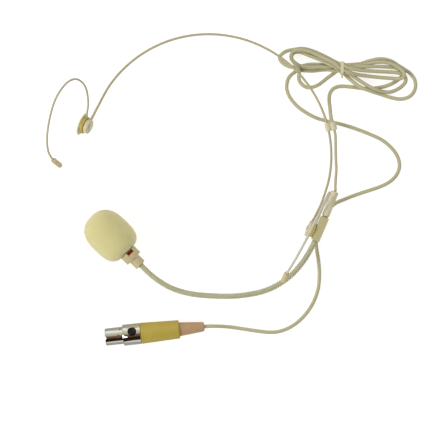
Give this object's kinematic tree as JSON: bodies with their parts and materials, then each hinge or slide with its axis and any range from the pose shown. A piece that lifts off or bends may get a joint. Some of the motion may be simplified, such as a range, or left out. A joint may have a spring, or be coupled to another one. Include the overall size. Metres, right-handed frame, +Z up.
{
  "type": "headset microphone",
  "caption": "Flesh-coloured headset microphone: wire neckband, two ear hooks, gooseneck boom with foam-covered capsule, tied cable and round locking plug",
  "frame": {"origin": "on the table under the middle of the headset itself, the cable and its plug left out", "axes": "+X from the left hub to the right hub, +Y toward the back of the neckband, +Z up from the table the headset lies on; the boom reaches toward -Y, to the front of the wearer, and the loops of the ear hooks stand up along +Z"},
  "size_m": [0.1819, 0.2013, 0.0434],
  "materials": {
    "band_wire": "satin",
    "hub_plastic": "satin",
    "tip_rubber": "matt",
    "gooseneck_jacket": "matt, finely ribbed",
    "mic_housing_plastic": "matt",
    "damping_felt": "felt",
    "windscreen_foam": "open-cell foam",
    "cable_jacket": "satin",
    "nickel": "polished",
    "brass": "bright",
    "black_plastic": "satin",
    "plug_shell_paint": "satin",
    "boot_rubber": "matt",
    "hub_cover_plastic": "semi-gloss"
  },
  "bodies": {
    "headband": {"neckband": "band_wire", "left_hub_base": "hub_plastic", "right_hub_base": "hub_plastic", "left_pivot_pin": "nickel", "right_pivot_pin": "nickel", "left_hub_cover": "hub_cover_plastic", "cord_upper": "cable_jacket", "cord_hank": "cable_jacket", "cord_lower": "cable_jacket", "hank_tie": "hub_cover_plastic", "cord_tail_in_plug": "cable_jacket", "plug_barrel": "nickel", "plug_insert": "black_plastic", "plug_contact_1": "brass", "plug_contact_2": "brass", "plug_contact_3": "brass", "plug_contact_4": "brass", "plug_latch_spring": "brass", "plug_shell": "plug_shell_paint", "plug_boot": "boot_rubber", "plug_cable_clamp": "black_plastic"},
    "left_hook": {"left_hook_carrier": "hub_plastic", "left_ear_hook": "band_wire", "left_hook_tip": "tip_rubber"},
    "right_hook": {"right_hook_carrier": "hub_plastic", "right_ear_hook": "band_wire", "right_hook_tip": "tip_rubber"},
    "boom": {"boom_clamp": "hub_plastic", "boom_sleeve": "hub_plastic", "gooseneck_rear": "gooseneck_jacket"},
    "boom_middle": {"gooseneck_middle": "gooseneck_jacket"},
    "mic_head": {"gooseneck_front": "gooseneck_jacket", "mic_rear_cap": "mic_housing_plastic", "mic_housing": "mic_housing_plastic", "damping_felt": "damping_felt", "capsule": "nickel", "capsule_mount": "black_plastic", "front_grille": "nickel"},
    "windscreen": {"foam_windscreen": "windscreen_foam"},
    "latch_button": {"plug_latch_button": "black_plastic"},
    "clip": {"cable_clip": "hub_plastic"}
  },
  "joints": [
    {"name": "left_hook_pivot", "type": "hinge", "parent": "headband", "child": "left_hook", "pos_m": [-0.06091, -0.00669, 0.00664], "axis": [0.9563, 0, 0.2924], "range_deg": [-40, 5]},
    {"name": "right_hook_pivot", "type": "hinge", "parent": "headband", "child": "right_hook", "pos_m": [0.07168, -0.01029, 0.009], "axis": [1, 0, 0], "range_deg": [-45, 5]},
    {"name": "boom_swivel", "type": "hinge", "parent": "headband", "child": "boom", "pos_m": [0.07168, -0.01029, 0.009], "axis": [1, 0, 0], "range_deg": [-12, 8]},
    {"name": "gooseneck_bend_rear", "type": "hinge", "parent": "boom", "child": "boom_middle", "pos_m": [0.07546, -0.02097, 0.009], "axis": [0, 0, 1], "range_deg": [-12, 8]},
    {"name": "gooseneck_bend_front", "type": "hinge", "parent": "boom_middle", "child": "mic_head", "pos_m": [0.01105, -0.06808, 0.01123], "axis": [0, 0, 1], "range_deg": [-20, 20]},
    {"name": "windscreen_slide", "type": "slide", "parent": "mic_head", "child": "windscreen", "axis": [-0.9341, 0.357, 0], "range_m": [0, 0.028]},
    {"name": "plug_latch_press", "type": "slide", "parent": "headband", "child": "latch_button", "axis": [0.1674, -0.2982, -0.9397], "range_m": [0, 0.001], "stiffness_N_per_m": 800},
    {"name": "cable_clip_slide", "type": "slide", "parent": "headband", "child": "clip", "axis": [-0.6008, 0.7994, 0], "range_m": [-0.0025, 0.0025]}
  ]
}
